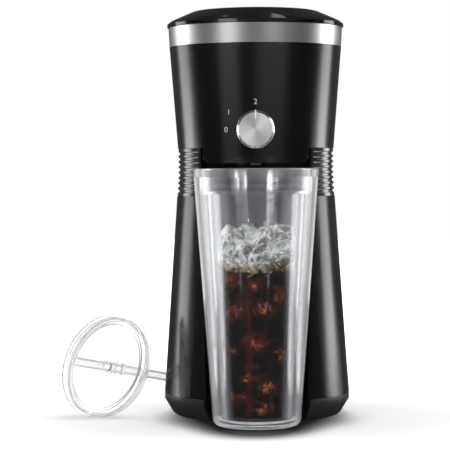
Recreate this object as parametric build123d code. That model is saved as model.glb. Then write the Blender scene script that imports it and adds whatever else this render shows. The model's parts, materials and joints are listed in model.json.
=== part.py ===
from build123d import *
from math import asin, atan, atan2, cos, degrees, hypot, radians, sin, sqrt
import os

os.makedirs("parts", exist_ok=True)

# Iced coffee maker with its tumbler and drink lid, in millimetres.
# X runs to the right, the front faces -Y and Z is up.
# The machine's upright axis meets the counter at the origin.

# Tumbler
cup_height = 202.0
cup_reach = 80.0
cup_base_radius = 34.5
cup_rim_radius = 49.5
cup_rim_height = 6.5
cup_wall = 2.0
cup_floor = 3.5
cup_edge_round = 6.0
cup_foot_recess = 1.0
cup_foot_width = 9.0
cup_mouth_radius = 42.3
cup_mouth_depth = 18.0
cup_liner_wall = 1.8
cup_liner_top_radius = 36.0
cup_liner_base_radius = 26.0
cup_liner_lift = 2.5

# Machine body, radii about the machine's axis
foot_lift = 0.6
foot_inset = 8.3
foot_round_inset = 6.3
foot_round_height = 2.5
base_radius = 76.0
base_edge_height = 13.0
base_height = 17.9
skirt_height = 2.1
lower_top_radius = 65.0
waist_length = 39.2
waist_low_radius = 64.6
waist_mid_radius = 63.6
waist_high_radius = 63.7
upper_length = 83.1
upper_low_radius = 64.1
upper_high_radius = 70.6
shell_wall = 2.5
base_wall = 2.8
waist_wall = 2.4
rib_count = 9
groove_depth = 1.1
groove_share = 0.52

# Niche for the tumbler
niche_low_gap = 8.8
niche_high_gap = 5.5
niche_wall = 2.5
cup_head_gap = 4.4
tongue_length = 12.1
tongue_side_gap = 2.0
tongue_corner = 6.5
head_floor_thickness = 3.0

# Rim, band and lid
band_length = 15.6
band_flare = 0.8
band_thickness = 0.85
band_lip = 0.6
collar_wall = 2.25
lid_gap = 0.4
lid_overhang = 1.0
lid_height = 14.4
lid_edge = 2.6
lid_shoulder_in = 3.4
lid_shoulder_up = 2.6
lid_brow_in = 22.0
lid_brow_up = 10.7
lid_brow_round = 14.0
lid_wall = 2.2
lid_plate = 2.0
lid_plate_inset = 2.6
lid_skirt_depth = 6.6
lid_skirt_wall = 2.0
lid_skirt_gap = 1.5
lid_boss_radius = 4.0
lid_boss_circle = 46.0
scoop_radius = 60.0
scoop_reach = 10.4
scoop_height = 2.9

# Hinge at the back
hinge_out = 3.6
hinge_rise = 1.4
knuckle_radius = 4.2
knuckle_half = 13.7
knuckle_gap = 0.3
lug_half = 22.0
hinge_pin_radius = 1.5
hinge_pin_play = 0.05
hinge_foot_drop = 15.0
hinge_floor_drop = 3.4
band_gap = 1.0

# Control valve and knob
knob_rise = 14.1
knob_radius = 15.5
knob_taper = 0.6
knob_depth = 12.0
knob_gap = 0.8
knob_wall = 1.6
knob_bevel = 1.6
knob_web = 1.9
knob_face_thickness = 1.0
knob_face_radius = 13.2
knob_nub_width = 3.4
knob_nub_height = 0.9
hub_radius = 6.5
stem_radius = 3.5
stem_play = 0.05
bush_radius = 6.5
bush_flange_radius = 11.0
bush_flange_gap = 0.5
plug_radius = 6.0
plug_play = 0.05
plug_length = 20.0
plug_end_gap = 0.3
water_way = 2.75
ring_section = 0.9
ring_inset = 3.0
valve_wall = 4.0
valve_back = 2.0
neck_radius = 7.0
nozzle_radius = 4.0
nozzle_inset = 11.0
nozzle_drop = 1.9
nozzle_seat = 4.0
spigot_radius = 4.5
spigot_length = 4.5

# Brew basket and filter
basket_forward = 28.0
basket_top_radius = 34.0
basket_low_radius = 28.0
basket_lift = 15.4
basket_wall = 1.8
basket_flange = 2.5
basket_flange_thickness = 2.0
filter_gap = 0.5
filter_ring = 2.5
filter_height = 44.0
filter_rib_width = 2.4
filter_rib_count = 6
mesh_thickness = 0.6
deck_drop = 1.6
deck_thickness = 2.5

# Reservoir behind the basket
tank_radius = 59.5
tank_front = 11.0
tank_low = 116.0
tank_wall = 2.0
tank_floor = 2.5
seal_thickness = 1.5

# Heater and water lines
heater_rise = 36.0
heater_gap = 1.97
heater_bend = 40.0
heater_leg = 8.0
water_tube_radius = 6.5
rod_radius = 5.0
rod_rise = 10.0
heater_web = 7.0
pipe_radius = 3.0
pipe_bore = 2.2
pipe_length = 9.0
clamp_size = 12.0
clamp_sink = 3.0
hose_radius = 5.0
hose_line = 14.0
hose_bend = 10.0
supply_bend = 14.0
feed_bend = 8.0
tank_pipe_back = 22.0
tank_pipe_length = 8.0
check_low = 52.0
check_length = 16.0
check_radius = 6.5
check_pipe = 6.0
clip_wall = 1.0
clip_width = 4.0
clip_inset = 2.0
riser_pipe = 14.0
spout_flange_radius = 5.0
spout_flange = 3.0
spout_reach = 18.0
spout_width = 8.0
spout_height = 6.0
spout_channel = 4.0
spout_wall = 1.5
thermostat_radius = 7.0
thermostat_height = 6.0
pad_height = 8.0
fuse_length = 14.0
fuse_width = 8.0
fuse_height = 9.0

# Underside
plate_lift = 2.0
plate_thickness = 2.6
plate_inset = 9.5
shelf_inset = 14.0
pad_inset = 14.4
pad_width = 5.6
boss_inset = 25.0
boss_radius = 4.5
boss_angles = (50, 130, 195, 345)
boss_top = 28.0
gusset_width = 3.0
screw_radius = 1.5
screw_head_radius = 3.2
screw_head = 1.4
screw_length = 12.0

# Deck screws
deck_boss_circle = 64.0
deck_boss_radius = 3.5
deck_boss_length = 16.0
deck_boss_angles = (62, 118, 205, 335)

# Switch, cord inlet and wiring at the back
switch_x = -24.0
switch_z = 46.0
switch_width = 15.0
switch_tall = 22.0
switch_depth = 12.5
switch_flange = 2.0
switch_proud = 1.6
switch_open_width = 11.0
switch_open_tall = 17.6
rocker_width = 10.4
rocker_half = 7.5
rocker_front = 6.0
rocker_dip = 4.4
rocker_back = 4.0
rocker_pivot_depth = 4.0
rocker_tilt = 8.0
rocker_pin = 1.5
rocker_pin_play = 0.05
rocker_pin_length = 1.2
inlet_x = 24.0
inlet_z = 32.0
inlet_radius = 7.0
inlet_flange_radius = 9.5
inlet_bore = 3.5
inlet_proud = 4.0
inlet_depth = 10.0
block_width = 24.0
block_depth = 12.0
block_height = 10.0
block_back = 18.0
wire_radius = 1.2
wire_bend = 5.0

# Drink lid and straw, which stand beside the machine
drink_lid_gap = 50.0
drink_lid_y = -25.0
drink_turn = 37.0
drink_lean = 20.0
flange_radius = 43.0
flange_thickness = 3.0
flange_width = 3.4
drink_wall = 1.8
skirt_radius = 41.2
skirt_depth = 11.0
drink_step = 3.0
drink_step_width = 4.0
drink_plate_depth = 8.0
drink_plate = 2.2
drink_hub_radius = 8.0
drink_hub_height = 1.5
straw_hole = 4.6
gasket_section = 1.1
gasket_height = 3.0
gasket_proud = 0.7
straw_radius = 3.75
straw_bore = 3.05
straw_beyond = 190.0
straw_proud = 39.0
stop_distance = 14.0
stop_radius = 5.6
stop_length = 3.0

BASE = (Align.CENTER, Align.CENTER, Align.MIN)
CORNER = (Align.MIN, Align.MIN, Align.MIN)


# Shared shapes

def keep(name, *pieces):
    """Write one named part; loose pieces of it stay separate solids in the same file."""
    solids = [solid for piece in pieces for solid in piece.solids()]
    shape = solids[0] if len(solids) == 1 else Compound(children=solids)
    shape.label = name
    export_step(shape, f"parts/{name}.step")


def face_of(points):
    """Upright face through (radius, height) points."""
    return make_face(Polyline(*[(r, 0, z) for r, z in points], close=True))


def turned(points):
    """Solid of revolution about Z through (radius, height) points."""
    return revolve(face_of(points), Axis.Z)


def disc(radius, bottom, top, x=0, y=0):
    """Upright cylinder."""
    return Pos(x, y, bottom) * Cylinder(radius, top - bottom, align=BASE)


def ring(outer, inner, bottom, top, x=0, y=0):
    """Upright tube."""
    return disc(outer, bottom, top, x, y) - disc(inner, bottom, top, x, y)


def rod(radius, near, far, x, z):
    """Cylinder along Y."""
    return Pos(x, near, z) * Rot(-90, 0, 0) * Cylinder(radius, far - near, align=BASE)


def cross_rod(radius, left, right, y, z):
    """Cylinder along X."""
    return Pos(left, y, z) * Rot(0, 90, 0) * Cylinder(radius, right - left, align=BASE)


def block(x0, x1, y0, y1, z0, z1):
    """Box between two corners."""
    return Pos(x0, y0, z0) * Box(x1 - x0, y1 - y0, z1 - z0, align=CORNER)


def tube(points, radii, outer, bore=0):
    """Hose or wire along straight runs joined by arcs."""
    path = FilletPolyline(*points, radius=radii)
    start = Plane(path @ 0, z_dir=path % 0)
    section = Circle(outer) - Circle(bore) if bore else Circle(outer)
    return sweep(start * section, path=path)


def slope(z, z0, r0, z1, r1):
    """Radius at height z on the straight line through two points of an outline."""
    return r0 + (z - z0) * (r1 - r0) / (z1 - z0)


# Heights and places that follow from the sizes

head_floor_z = cup_height + cup_head_gap
waist_top = head_floor_z + tongue_length
waist_bottom = waist_top - waist_length
skirt_top = base_height + skirt_height
band_bottom = waist_top + upper_length
band_top = band_bottom + band_length
lid_bottom = band_top + lid_gap
lid_top = lid_bottom + lid_height
deck_top = band_bottom - deck_drop
deck_bottom = deck_top - deck_thickness
tank_top = deck_bottom - seal_thickness
plate_bottom = foot_lift + plate_lift
plate_top = plate_bottom + plate_thickness
lid_radius = upper_high_radius + band_flare + lid_overhang
plate_radius = base_radius - plate_inset
shelf_radius = base_radius - shelf_inset
pad_radius = base_radius - pad_inset
boss_circle = base_radius - boss_inset
drink_lid_x = -(base_radius + drink_lid_gap)
knob_z = waist_top + knob_rise
valve_y = -(cup_reach - cup_mouth_radius + nozzle_inset)
basket_y = -basket_forward
basket_floor = knob_z + basket_lift
reach_beyond = lid_top + 1
niche_low_radius = cup_base_radius + niche_low_gap
niche_high_radius = cup_rim_radius + niche_high_gap


def niche_radius(z):
    """Inner radius of the niche about the tumbler's axis."""
    return slope(z, base_height, niche_low_radius, cup_height, niche_high_radius)


def niche_space(margin, bottom=-1.0, top=reach_beyond):
    """Tapered space of the niche, grown by a margin."""
    low = niche_radius(bottom) + margin
    high = niche_radius(top) + margin
    return Pos(0, -cup_reach, 0) * turned([(0, bottom), (low, bottom), (high, top), (0, top)])


def upper_radius(z):
    """Outer radius of the upper housing, also below it along the tongue."""
    return slope(z, waist_top, upper_low_radius, band_bottom, upper_high_radius)


def lower_radius(z):
    """Outer radius of the lower housing."""
    return slope(z, skirt_top, base_radius, waist_bottom, lower_top_radius)


def upper_core(inset, bottom, top):
    """Solid inside the upper housing's outline."""
    low = upper_radius(bottom) - inset
    high = upper_radius(top) - inset
    return turned([(0, bottom), (low, bottom), (high, top), (0, top)])


def lower_core(inset):
    """Solid inside the lower housing's outline."""
    return turned([
        (0, base_height), (base_radius - inset, base_height), (base_radius - inset, skirt_top),
        (lower_top_radius - inset, waist_bottom), (0, waist_bottom),
    ])


# Underside: rubber ring, base ring, plate and its screws

def base_core():
    """Solid inside the base ring's outline, rounded in towards the counter."""
    return turned([
        (0, foot_lift), (base_radius - foot_inset, foot_lift),
        (base_radius - foot_round_inset, foot_round_height),
        (base_radius, base_edge_height), (base_radius, base_height), (0, base_height),
    ])


def base_ring():
    """Outer ring with an inner shelf that the plate lies on."""
    hollow = turned([
        (0, foot_lift), (shelf_radius, foot_lift), (shelf_radius, plate_bottom), (plate_radius, plate_bottom),
        (base_radius - base_wall, base_edge_height), (base_radius - base_wall, base_height), (0, base_height),
    ])
    return base_core() - hollow - niche_space(niche_wall)


def boss_places():
    """Centres of the four bosses that the plate is screwed to."""
    return [(boss_circle * cos(radians(a)), boss_circle * sin(radians(a)), a) for a in boss_angles]


foot_ring = ring(pad_radius, pad_radius - pad_width, 0, plate_bottom) - niche_space(niche_wall)
bottom_plate = disc(plate_radius, plate_bottom, plate_top) - niche_space(niche_wall)
plate_screws = []
for x, y, angle in boss_places():
    bottom_plate -= disc(screw_radius, plate_bottom, plate_top, x, y)
    head = disc(screw_head_radius, plate_bottom - screw_head, plate_bottom, x, y)
    plate_screws.append(head + disc(screw_radius, plate_bottom, plate_bottom + screw_length, x, y))

keep("foot_ring", foot_ring)
keep("base_ring", base_ring())
keep("bottom_plate", bottom_plate)
keep("plate_screws", *plate_screws)

# Lower housing with its bosses, and the openings for the switch and the cord

lower_housing = lower_core(0) - lower_core(shell_wall)
for x, y, angle in boss_places():
    boss = disc(boss_radius, plate_top, boss_top, x, y)
    gusset = block(boss_circle, base_radius, -gusset_width / 2, gusset_width / 2, base_height, boss_top)
    lower_housing += boss + (Rot(0, 0, angle) * gusset & lower_core(shell_wall / 2))
    lower_housing -= disc(screw_radius, plate_top, plate_bottom + screw_length, x, y)
switch_face = sqrt(lower_radius(switch_z) ** 2 - (abs(switch_x) - switch_width / 2) ** 2) + switch_proud
switch_back = switch_face - switch_depth
switch_body = block(
    switch_x - switch_width / 2, switch_x + switch_width / 2, switch_back, switch_face,
    switch_z - switch_tall / 2, switch_z + switch_tall / 2,
)
inlet_face = sqrt(lower_radius(inlet_z) ** 2 - inlet_x ** 2) + inlet_proud
inlet_end = inlet_face - inlet_proud - inlet_depth
lower_housing -= switch_body
lower_housing -= rod(inlet_radius, inlet_end, inlet_face, inlet_x, inlet_z)
lower_housing -= niche_space(niche_wall)

keep("lower_housing", lower_housing)

# Waist: a grip of fine ribs between the two housings

def waist_radius(z):
    """Outer radius of the waist, slightly drawn in at its middle."""
    middle = (waist_bottom + waist_top) / 2
    if z < middle:
        return slope(z, waist_bottom, waist_low_radius, middle, waist_mid_radius)
    return slope(z, middle, waist_mid_radius, waist_top, waist_high_radius)


def waist_outline():
    """Outer points of the ribs, from the bottom up."""
    pitch = waist_length / rib_count
    groove = pitch * groove_share
    points = []
    for number in range(rib_count):
        low = waist_bottom + number * pitch + groove / 2
        high = waist_bottom + (number + 1) * pitch - groove / 2
        if number == 0:
            low = waist_bottom
        if number == rib_count - 1:
            high = waist_top
        if number > 0:
            points.append((waist_radius(low) - groove_depth, low))
        points += [(waist_radius(low), low), (waist_radius(high), high)]
        if number < rib_count - 1:
            points.append((waist_radius(high) - groove_depth, high))
    return points


waist_inner = waist_mid_radius - waist_wall
waist_grip = turned([(waist_inner, waist_bottom)] + waist_outline() + [(waist_inner, waist_top)])
keep("waist_grip", waist_grip - niche_space(niche_wall))

# Niche liner: the tapered inner wall behind the tumbler, open down to the counter

liner_limit = base_core() + lower_core(0) + turned([
    (0, waist_bottom), (waist_low_radius, waist_bottom), (waist_high_radius, waist_top), (0, waist_top),
])
niche_liner = (niche_space(niche_wall, 0, waist_top) - niche_space(0)) & liner_limit
keep("niche_liner", niche_liner)

# Upper housing with the tongue over the niche, the collar under the band, and the hinge block

hinge_y = lid_radius + hinge_out
hinge_z = lid_bottom + hinge_rise
collar_radius = upper_high_radius - band_thickness
collar_inner = collar_radius - collar_wall
collar_top = band_top - band_lip

upper_housing = upper_core(0, waist_top, band_bottom) - upper_core(shell_wall, waist_top, band_bottom)
upper_housing += ring(collar_radius, collar_inner, deck_top, collar_top)

tongue_mid = niche_radius(waist_top)
tongue_edge = (cup_reach ** 2 + upper_low_radius ** 2 - tongue_mid ** 2) / (2 * cup_reach)
tongue_half = sqrt(upper_low_radius ** 2 - tongue_edge ** 2) - tongue_side_gap
tongue_face = Plane.XZ * Pos(0, head_floor_z) * Rectangle(
    2 * tongue_half, tongue_length + tongue_corner, align=(Align.CENTER, Align.MIN)
)
tongue_face = fillet(tongue_face.vertices().group_by(Axis.Z)[0], tongue_corner)
tongue_shell = upper_core(0, head_floor_z, waist_top) - upper_core(shell_wall, head_floor_z, waist_top)
upper_housing += tongue_shell & extrude(tongue_face, reach_beyond)

hinge_low = band_bottom - hinge_foot_drop
hinge_inner = collar_inner - 2 * shell_wall
hinge_profile = make_face(Polyline(
    (0, hinge_inner, hinge_low), (0, upper_radius(hinge_low) - shell_wall / 2, hinge_low),
    (0, hinge_y + knuckle_radius, band_bottom), (0, hinge_y + knuckle_radius, hinge_z),
    (0, hinge_y - knuckle_radius, hinge_z), (0, hinge_y - knuckle_radius, band_top), (0, hinge_inner, band_top),
    close=True,
))
hinge_block = extrude(hinge_profile, lug_half, both=True) - upper_core(shell_wall, hinge_low, deck_top)
hinge_block -= disc(collar_inner, deck_top, band_top)
hinge_block += cross_rod(knuckle_radius, -lug_half, lug_half, hinge_y, hinge_z)
hinge_bay = block(
    -knuckle_half - knuckle_gap, knuckle_half + knuckle_gap, hinge_y - knuckle_radius - hinge_out, reach_beyond,
    band_top - hinge_floor_drop, reach_beyond,
)
upper_housing += hinge_block - hinge_bay
upper_housing -= cross_rod(hinge_pin_radius, -lug_half, lug_half, hinge_y, hinge_z)

for angle in deck_boss_angles:
    x = deck_boss_circle * cos(radians(angle))
    y = deck_boss_circle * sin(radians(angle))
    boss = disc(deck_boss_radius, deck_bottom - deck_boss_length, deck_bottom, x, y)
    upper_housing += boss & upper_core(shell_wall / 2, waist_top, band_bottom)
    upper_housing -= disc(screw_radius, deck_bottom - screw_length, deck_bottom, x, y)

knob_back = -(upper_radius(knob_z + knob_radius) + knob_gap)
valve_front = -(upper_radius(knob_z - bush_radius) - shell_wall - knob_gap)
upper_housing -= rod(bush_radius, knob_back, valve_front, 0, knob_z)
keep("upper_housing", upper_housing)

hinge_pin = cross_rod(hinge_pin_radius, -lug_half, lug_half, hinge_y, hinge_z)
keep("hinge_pin", hinge_pin)

# Head floor over the tumbler, and the nozzle that it carries

head_floor = niche_space(0) & upper_core(shell_wall, head_floor_z, head_floor_z + head_floor_thickness)
head_floor -= disc(nozzle_radius, head_floor_z, head_floor_z + head_floor_thickness, 0, valve_y)
keep("head_floor", head_floor)

floor_top = head_floor_z + head_floor_thickness
drip_nozzle = ring(nozzle_radius, water_way, head_floor_z - nozzle_drop, floor_top + nozzle_seat, 0, valve_y)
keep("drip_nozzle", drip_nozzle)

# Brushed steel band round the collar, open at the hinge

band_outline = [
    (collar_radius, band_bottom), (upper_high_radius, band_bottom), (upper_high_radius + band_flare, band_top),
    (collar_inner, band_top), (collar_inner, collar_top), (collar_radius, collar_top),
]
steel_band = turned(band_outline) - block(
    -lug_half - band_gap, lug_half + band_gap, 0, reach_beyond, band_bottom, band_top,
)
keep("steel_band", steel_band)

# Top deck, which carries the basket and closes over the reservoir

def tank_core(inset, bottom, top):
    """D-shaped space of the reservoir."""
    radius = tank_radius - inset
    return disc(radius, bottom, top) & block(-radius, radius, tank_front + inset, radius, bottom, top)


deck_hole = basket_top_radius + filter_gap
riser_x = heater_bend
riser_y = -hose_line
top_deck = upper_core(shell_wall, deck_bottom, deck_top)
top_deck -= disc(deck_hole, deck_bottom, deck_top, 0, basket_y)
top_deck -= tank_core(tank_wall, deck_bottom, deck_top)
top_deck -= disc(pipe_radius, deck_bottom, deck_top, riser_x, riser_y)
deck_screws = []
for angle in deck_boss_angles:
    x = deck_boss_circle * cos(radians(angle))
    y = deck_boss_circle * sin(radians(angle))
    top_deck -= disc(screw_radius, deck_bottom, deck_top, x, y)
    shank = disc(screw_radius, deck_bottom - screw_length, deck_top, x, y)
    deck_screws.append(shank + disc(screw_head_radius, deck_top, deck_top + screw_head, x, y))
keep("top_deck", top_deck)
keep("deck_screws", *deck_screws)

# Reservoir, open at the top, with an outlet pipe under its floor

water_reservoir = tank_core(0, tank_low, tank_top) - tank_core(tank_wall, tank_low + tank_floor, tank_top)
water_reservoir += disc(pipe_radius, tank_low - tank_pipe_length, tank_low, -riser_x, tank_pipe_back)
water_reservoir -= disc(pipe_bore, tank_low - tank_pipe_length, tank_low + tank_floor, -riser_x, tank_pipe_back)
reservoir_seal = tank_core(0, tank_top, deck_bottom) - tank_core(tank_wall, tank_top, deck_bottom)
keep("water_reservoir", water_reservoir)
keep("reservoir_seal", reservoir_seal)

# Brew basket hung in the deck, with its filter

def basket_radius(z):
    """Outer radius of the basket about its own axis."""
    return slope(z, basket_floor, basket_low_radius, deck_top, basket_top_radius)


def basket_core(inset, bottom, top):
    """Tapered solid inside the basket's outline."""
    low = basket_radius(bottom) - inset
    high = basket_radius(top) - inset
    return Pos(0, basket_y, 0) * turned([(0, bottom), (low, bottom), (high, top), (0, top)])


flange_top = deck_top + basket_flange_thickness
basket_inside = basket_floor + basket_wall
brew_basket = basket_core(0, basket_floor, deck_top)
brew_basket += disc(deck_hole + basket_flange, deck_top, flange_top, 0, basket_y)
brew_basket -= basket_core(basket_wall, basket_inside, flange_top)
brew_basket += disc(spigot_radius, basket_floor - spigot_length, basket_floor, 0, valve_y)
brew_basket -= disc(water_way, basket_floor - spigot_length, basket_inside, 0, valve_y)
keep("brew_basket", brew_basket)

filter_top = basket_inside + filter_height
rim_low = filter_top - filter_ring
filter_inset = basket_wall + filter_gap
mesh_inset = filter_inset + filter_ring


def filter_band(bottom, top):
    """Tapered ring between the basket's wall and the mesh."""
    return basket_core(filter_inset, bottom, top) - basket_core(mesh_inset, bottom, top)


filter_frame = filter_band(basket_inside, basket_inside + filter_ring)
for number in range(filter_rib_count):
    spoke = block(0, deck_hole, -filter_rib_width / 2, filter_rib_width / 2, basket_inside, rim_low)
    turn = Pos(0, basket_y, 0) * Rot(0, 0, number * 360 / filter_rib_count)
    filter_frame += filter_band(basket_inside, rim_low) & (turn * spoke)
keep("filter_frame", filter_frame)
keep("filter_rim", filter_band(rim_low, filter_top))

filter_mesh = basket_core(mesh_inset, basket_inside, filter_top)
filter_mesh -= basket_core(mesh_inset + mesh_thickness, basket_inside + mesh_thickness, filter_top)
keep("filter_mesh", filter_mesh)

# Control valve: body with a cross bore, and the plug, stem and knob that turn in it

valve_rear = valve_front + plug_length + plug_end_gap + valve_back
valve_radius = plug_radius + valve_wall
plug_bore = plug_radius + plug_play
valve_body = rod(valve_radius, valve_front, valve_rear, 0, knob_z)
valve_body += disc(neck_radius, floor_top, basket_floor, 0, valve_y)
valve_body -= rod(plug_bore, valve_front, valve_rear - valve_back, 0, knob_z)
valve_body -= disc(water_way, floor_top, basket_floor, 0, valve_y)
valve_body -= disc(nozzle_radius, floor_top, floor_top + nozzle_seat, 0, valve_y)
valve_body -= disc(spigot_radius, basket_floor - spigot_length, basket_floor, 0, valve_y)
keep("valve_body", valve_body)

bush_front = knob_back + bush_flange_gap
knob_bushing = rod(bush_flange_radius, bush_front, valve_front, 0, knob_z)
knob_bushing -= upper_core(0, head_floor_z, band_bottom)
knob_bushing += rod(bush_radius, bush_front, valve_front, 0, knob_z)
knob_bushing -= rod(stem_radius + stem_play, bush_front, valve_front, 0, knob_z)
keep("knob_bushing", knob_bushing)

knob_front = knob_back - knob_depth
face_seat = knob_front + knob_face_thickness
stem_end = face_seat + knob_web
plug_near = valve_front + plug_end_gap
plug_far = valve_front + plug_length
valve_plug = rod(plug_radius, plug_near, plug_far, 0, knob_z) + rod(stem_radius, stem_end, plug_near, 0, knob_z)
valve_plug -= disc(water_way, knob_z - plug_radius, knob_z + plug_radius, 0, valve_y)
plug_rings = []
for middle in (plug_near + ring_inset, plug_far - ring_inset):
    sleeve = rod(plug_radius, middle - ring_section, middle + ring_section, 0, knob_z)
    core = rod(plug_radius - 2 * ring_section, middle - ring_section, middle + ring_section, 0, knob_z)
    valve_plug -= sleeve - core
    torus = Torus(plug_radius - ring_section, ring_section)
    plug_rings.append(Pos(0, middle, knob_z) * Rot(90, 0, 0) * torus)
keep("valve_plug", valve_plug)
keep("plug_rings", *plug_rings)


def knob_turned(points):
    """Solid of revolution about the knob's axis through (radius, distance in front of its back) points."""
    return Pos(0, knob_back, knob_z) * Rot(90, 0, 0) * turned(points)


front_radius = knob_radius - knob_taper
knob_shell = knob_turned([
    (0, 0), (knob_radius, 0), (front_radius, knob_depth - knob_bevel), (front_radius - knob_bevel, knob_depth),
    (0, knob_depth),
])
nub_face = make_face(Polyline(
    (-knob_nub_width / 2, -knob_bevel), (knob_nub_width / 2, -knob_bevel), (knob_nub_width / 2, 0),
    (0, knob_nub_height + knob_bevel), (-knob_nub_width / 2, 0), close=True,
))
nub_place = Pos(0, knob_front, knob_z + front_radius - knob_bevel) * Rot(90, 0, 0)
knob_shell += nub_place * extrude(nub_face, -knob_depth + knob_bevel)
knob_shell -= rod(knob_face_radius, knob_front, face_seat, 0, knob_z)
hollow_radius = front_radius - knob_wall
hub = rod(hub_radius, stem_end, bush_front - knob_gap, 0, knob_z)
knob_shell -= rod(hollow_radius, stem_end, knob_back, 0, knob_z) - hub
knob_shell -= rod(stem_radius, stem_end, knob_back, 0, knob_z)
keep("knob_shell", knob_shell)
knob_face = rod(knob_face_radius, knob_front, face_seat, 0, knob_z)
keep("knob_face", knob_face)

# Heater: a water tube and a heating rod cast in one aluminium horseshoe

switch_edge = abs(switch_x) - switch_width / 2
heater_reach = sqrt((heater_bend + water_tube_radius) ** 2 - switch_edge ** 2)
heater_back = switch_back - heater_gap - heater_reach
leg_end = heater_back - heater_leg
heater_path = Wire([
    Line((-heater_bend, leg_end, heater_rise), (-heater_bend, heater_back, heater_rise)),
    ThreePointArc(
        (-heater_bend, heater_back, heater_rise), (0, heater_back + heater_bend, heater_rise),
        (heater_bend, heater_back, heater_rise),
    ),
    Line((heater_bend, heater_back, heater_rise), (heater_bend, leg_end, heater_rise)),
])
heater_start = Plane((-heater_bend, leg_end, heater_rise), x_dir=(1, 0, 0), z_dir=(0, -1, 0))
heater_section = Circle(water_tube_radius) + Pos(0, rod_rise) * Circle(rod_radius)
heater_section += Pos(0, rod_rise / 2) * Rectangle(heater_web, rod_rise)
heater_section -= Circle(pipe_bore)
heater = sweep(heater_start * heater_section, path=heater_path)
for side in (-1, 1):
    pipe = rod(pipe_radius, leg_end - pipe_length, leg_end, side * heater_bend, heater_rise)
    heater += pipe - rod(pipe_bore, leg_end - pipe_length, leg_end, side * heater_bend, heater_rise)
keep("heater", heater)

clamp_y = leg_end + clamp_size / 2
clamp_spots = ((-heater_bend, clamp_y), (0, heater_back + heater_bend), (heater_bend, clamp_y))
clamps = []
for x, y in clamp_spots:
    post = block(
        x - clamp_size / 2, x + clamp_size / 2, y - clamp_size / 2, y + clamp_size / 2,
        plate_top, heater_rise - clamp_sink,
    )
    clamps.append(post - heater)
keep("heater_clamps", *clamps)

heater_top = heater_rise + rod_rise + rod_radius
thermostat_y = heater_back + heater_bend
pad_top = heater_top + pad_height / 4
thermostat = block(
    -rod_radius, rod_radius, thermostat_y - rod_radius, thermostat_y + rod_radius,
    heater_top - rod_radius / 2, pad_top,
) - heater
thermostat += disc(thermostat_radius, pad_top, pad_top + thermostat_height, 0, thermostat_y)
keep("thermostat", thermostat)

fuse_y = heater_back - fuse_length / 4
fuse_low = heater_top - rod_radius
thermal_fuse = block(
    -heater_bend - fuse_width / 2, -heater_bend + fuse_width / 2,
    fuse_y - fuse_length / 2, fuse_y + fuse_length / 2, fuse_low, fuse_low + fuse_height,
) - heater
thermal_fuse = thermal_fuse.solids().sort_by(Axis.Z)[-1]
keep("thermal_fuse", thermal_fuse)

# Water lines: reservoir to check valve to heater, and heater to spout

check_high = check_low + check_length
line_y = -hose_line
check_valve = disc(check_radius, check_low, check_high, -riser_x, line_y)
check_valve += disc(pipe_radius, check_low - check_pipe, check_high + check_pipe, -riser_x, line_y)
check_valve -= disc(pipe_bore, check_low - check_pipe, check_high + check_pipe, -riser_x, line_y)
keep("check_valve", check_valve)

supply_points = [
    (-riser_x, tank_pipe_back, tank_low), (-riser_x, tank_pipe_back, tank_low - tank_pipe_length - supply_bend),
    (-riser_x, line_y, check_high + check_pipe + supply_bend), (-riser_x, line_y, check_high),
]
supply_hose = tube(supply_points, supply_bend, hose_radius, pipe_radius)
keep("supply_hose", supply_hose)

feed_points = [
    (-riser_x, line_y, check_low), (-riser_x, line_y, heater_rise), (-riser_x, leg_end, heater_rise),
]
feed_hose = tube(feed_points, feed_bend, hose_radius, pipe_radius)
keep("feed_hose", feed_hose)

riser_points = [(riser_x, leg_end, heater_rise), (riser_x, line_y, heater_rise), (riser_x, line_y, deck_bottom)]
riser_hose = tube(riser_points, hose_bend, hose_radius, pipe_radius)
keep("riser_hose", riser_hose)


def upright_clip(x, y, z):
    """Spring clip round an upright hose end, from height z up."""
    return ring(hose_radius + clip_wall, hose_radius, z, z + clip_width, x, y)


def level_clip(x):
    """Spring clip round a hose end on the heater."""
    near = leg_end - clip_inset - clip_width
    far = leg_end - clip_inset
    return rod(hose_radius + clip_wall, near, far, x, heater_rise) - rod(hose_radius, near, far, x, heater_rise)


keep(
    "hose_clips",
    upright_clip(-riser_x, tank_pipe_back, tank_low - clip_inset - clip_width),
    upright_clip(-riser_x, line_y, check_high + clip_inset / 2),
    level_clip(-riser_x),
    level_clip(riser_x),
    upright_clip(riser_x, line_y, deck_bottom - clip_inset - clip_width),
)

# Spout on the deck, which pours over the rim of the basket

spout_turn = degrees(atan2(basket_y - riser_y, -riser_x))
arm_low = deck_top + spout_flange
arm_high = arm_low + spout_height
arm_frame = Pos(riser_x, riser_y, 0) * Rot(0, 0, spout_turn)
arm = block(0, spout_reach, -spout_width / 2, spout_width / 2, arm_low, arm_high)
arm += disc(spout_width / 2, arm_low, arm_high) + disc(spout_width / 2, arm_low, arm_high, spout_reach)
channel_low = arm_low + spout_wall
channel_high = arm_high - spout_wall
channel = block(0, spout_reach, -spout_channel / 2, spout_channel / 2, channel_low, channel_high)
channel += disc(spout_channel / 2, arm_low, channel_high, spout_reach)
water_spout = arm_frame * (arm - channel)
water_spout += disc(spout_flange_radius, deck_top, arm_low, riser_x, riser_y)
water_spout += disc(pipe_radius, deck_bottom - riser_pipe, deck_top, riser_x, riser_y)
water_spout -= disc(pipe_bore, deck_bottom - riser_pipe, channel_high, riser_x, riser_y)
keep("water_spout", water_spout)

# Lid: cover, inner plate with its centring skirt, and the screws between them

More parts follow.
